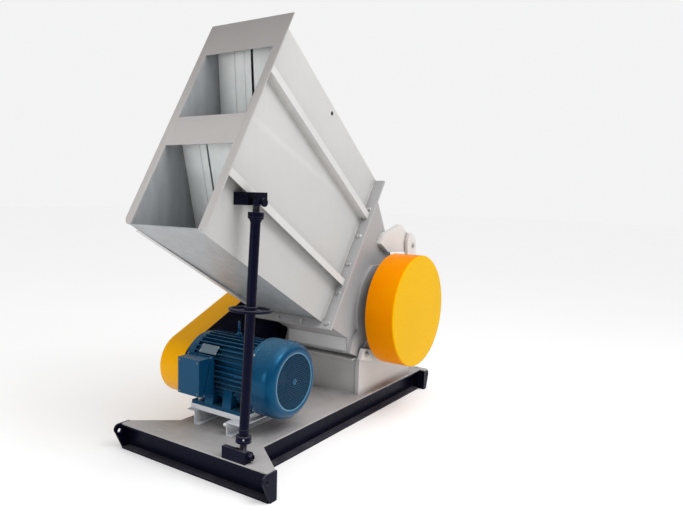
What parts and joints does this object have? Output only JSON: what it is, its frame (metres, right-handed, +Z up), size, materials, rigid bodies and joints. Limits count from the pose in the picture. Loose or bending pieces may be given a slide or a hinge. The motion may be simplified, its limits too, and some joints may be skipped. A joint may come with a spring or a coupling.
{
  "type": "plastic granulator",
  "caption": "Skid-mounted plastic granulator with a tall inclined feed hopper on a tilting housing, belt-driven rotor, flywheel, electric motor and screw jack.",
  "frame": {"origin": "middle of the bounding box at floor level, under the skid", "axes": "+X towards the flywheel, +Y to the rear, away from the feed mouth, +Z up"},
  "size_m": [1.073, 2.308, 2.3687],
  "materials": {
    "grey_paint": "semi-gloss paint",
    "black_paint": "semi-gloss paint",
    "yellow_paint": "gloss paint",
    "blue_paint": "semi-gloss paint",
    "white_paint": "semi-gloss paint",
    "bare_steel": "machined",
    "tool_steel": "ground",
    "cast_iron": "as cast, machined faces",
    "belt_rubber": "matt",
    "curtain_rubber": "matt",
    "fan_plastic": "moulded"
  },
  "bodies": {
    "base": {"front_crossbeam": "black_paint", "rear_crossbeam": "black_paint", "side_rails": "black_paint", "deck_plate": "grey_paint", "motor_slide_rails": "white_paint", "lower_side_plates": "grey_paint", "lower_front_wall": "grey_paint", "lower_rear_wall": "grey_paint", "bed_knife_seats": "grey_paint", "bed_knives": "tool_steel", "screen": "bare_steel", "discharge_spigot": "grey_paint", "hinge_posts": "grey_paint", "hinge_pins": "bare_steel", "bearing_housings": "cast_iron", "guard_back_plate": "black_paint", "belt_guard": "yellow_paint", "flywheel_cover": "yellow_paint", "cover_brackets": "grey_paint", "drive_belts": "belt_rubber", "jack_lower_bracket": "black_paint", "jack_lower_pin": "black_paint"},
    "tilting_housing": {"hopper_floor": "grey_paint", "hopper_roof": "grey_paint", "hopper_side_walls": "grey_paint", "mouth_frame": "grey_paint", "hopper_ribs": "grey_paint", "hopper_flange": "grey_paint", "housing_flange": "grey_paint", "flange_bolts": "grey_paint", "upper_side_walls": "grey_paint", "upper_front_wall": "grey_paint", "upper_rear_wall": "grey_paint", "front_beam": "grey_paint", "hinge_ears": "grey_paint", "jack_upper_bracket": "black_paint", "curtain_rails": "bare_steel"},
    "rotor": {"rotor_shaft": "bare_steel", "rotor_body": "bare_steel", "rotor_knives": "tool_steel", "flywheel": "cast_iron", "rotor_pulley": "cast_iron"},
    "motor": {"motor_frame": "blue_paint", "terminal_box": "blue_paint", "fan_cowl": "blue_paint", "motor_base_plate": "white_paint"},
    "motor_rotor": {"motor_shaft": "bare_steel", "motor_pulley": "cast_iron", "motor_fan": "fan_plastic"},
    "jack_foot_screw": {"jack_lower_screw": "black_paint"},
    "jack_nut": {"jack_collar": "black_paint"},
    "jack_barrel": {"jack_tube": "black_paint", "jack_handwheel": "black_paint"},
    "jack_head_screw": {"jack_upper_screw": "black_paint", "jack_upper_pin": "black_paint"},
    "upper_strip_left": {"upper_curtain_left": "curtain_rubber"},
    "upper_strip_middle": {"upper_curtain_middle": "curtain_rubber"},
    "upper_strip_right": {"upper_curtain_right": "curtain_rubber"},
    "lower_strip_left": {"lower_curtain_left": "curtain_rubber"},
    "lower_strip_right": {"lower_curtain_right": "curtain_rubber"}
  },
  "joints": [
    {"name": "housing_tilt", "type": "hinge", "parent": "base", "child": "tilting_housing", "pos_m": [-0.0135, 0.919, 1.096], "axis": [-1, 0, 0], "range_deg": [0, 20]},
    {"name": "rotor_spin", "type": "hinge", "parent": "base", "child": "rotor", "pos_m": [-0.0135, 0.558, 0.695], "axis": [1, 0, 0], "continuous": true},
    {"name": "belt_tension_slide", "type": "slide", "parent": "base", "child": "motor", "axis": [0, 1, 0], "range_m": [0, 0.03]},
    {"name": "motor_spin", "type": "hinge", "parent": "motor", "child": "motor_rotor", "pos_m": [0, -0.535, 0.44], "axis": [1, 0, 0], "continuous": true},
    {"name": "jack_swing", "type": "hinge", "parent": "base", "child": "jack_foot_screw", "pos_m": [0.3365, -0.959, 0.177], "axis": [-1, 0, 0], "range_deg": [-0.5, 6]},
    {"name": "jack_nut_travel", "type": "slide", "parent": "jack_foot_screw", "child": "jack_nut", "axis": [0, 0.0644, 0.9979], "range_m": [0, 0.312]},
    {"name": "jack_barrel_spin", "type": "hinge", "parent": "jack_nut", "child": "jack_barrel", "pos_m": [0.3365, -0.959, 0.177], "axis": [0, 0.0644, 0.9979], "continuous": true},
    {"name": "jack_screw_travel", "type": "slide", "parent": "jack_nut", "child": "jack_head_screw", "axis": [0, 0.0644, 0.9979], "range_m": [0, 0.312]},
    {"name": "upper_strip_left_swing", "type": "hinge", "parent": "tilting_housing", "child": "upper_strip_left", "pos_m": [-0.15, -0.548, 2.291], "axis": [1, 0, 0], "range_deg": [0, 35]},
    {"name": "upper_strip_middle_swing", "type": "hinge", "parent": "tilting_housing", "child": "upper_strip_middle", "pos_m": [-0.03, -0.548, 2.291], "axis": [1, 0, 0], "range_deg": [0, 35]},
    {"name": "upper_strip_right_swing", "type": "hinge", "parent": "tilting_housing", "child": "upper_strip_right", "pos_m": [0.11, -0.548, 2.291], "axis": [1, 0, 0], "range_deg": [0, 35]},
    {"name": "lower_strip_left_swing", "type": "hinge", "parent": "tilting_housing", "child": "lower_strip_left", "pos_m": [-0.16, -0.832, 1.803], "axis": [1, 0, 0], "range_deg": [0, 40]},
    {"name": "lower_strip_right_swing", "type": "hinge", "parent": "tilting_housing", "child": "lower_strip_right", "pos_m": [0.08, -0.832, 1.803], "axis": [1, 0, 0], "range_deg": [0, 40]}
  ],
  "couplings": [
    {"joint": "motor_spin", "follows": "rotor_spin", "ratio": 2.496},
    {"joint": "jack_swing", "follows": "housing_tilt", "ratio": 0.26},
    {"joint": "jack_nut_travel", "follows": "housing_tilt", "m_per_rad": 0.887},
    {"joint": "jack_screw_travel", "follows": "housing_tilt", "m_per_rad": 0.887}
  ]
}
